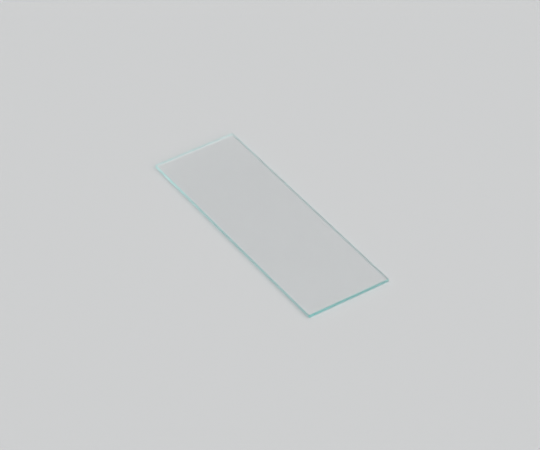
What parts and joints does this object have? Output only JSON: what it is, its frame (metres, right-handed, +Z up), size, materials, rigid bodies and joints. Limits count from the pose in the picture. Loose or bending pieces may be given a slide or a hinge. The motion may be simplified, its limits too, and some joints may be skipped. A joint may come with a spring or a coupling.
{
  "type": "microscope slide",
  "caption": "Flat rectangular plate of clear glass with straight ground edges, for carrying a specimen on a microscope stage.",
  "frame": {"origin": "centre of the underside, the polished face that lies on the stage or table", "axes": "+X along the long side, +Y along the short side, +Z up through the thickness, out of the specimen face"},
  "size_m": [0.076, 0.026, 0.001],
  "materials": {
    "clear_glass": "polished faces, fine-ground matt edges"
  },
  "bodies": {
    "root": {"glass_slide": "clear_glass"}
  },
  "joints": []
}
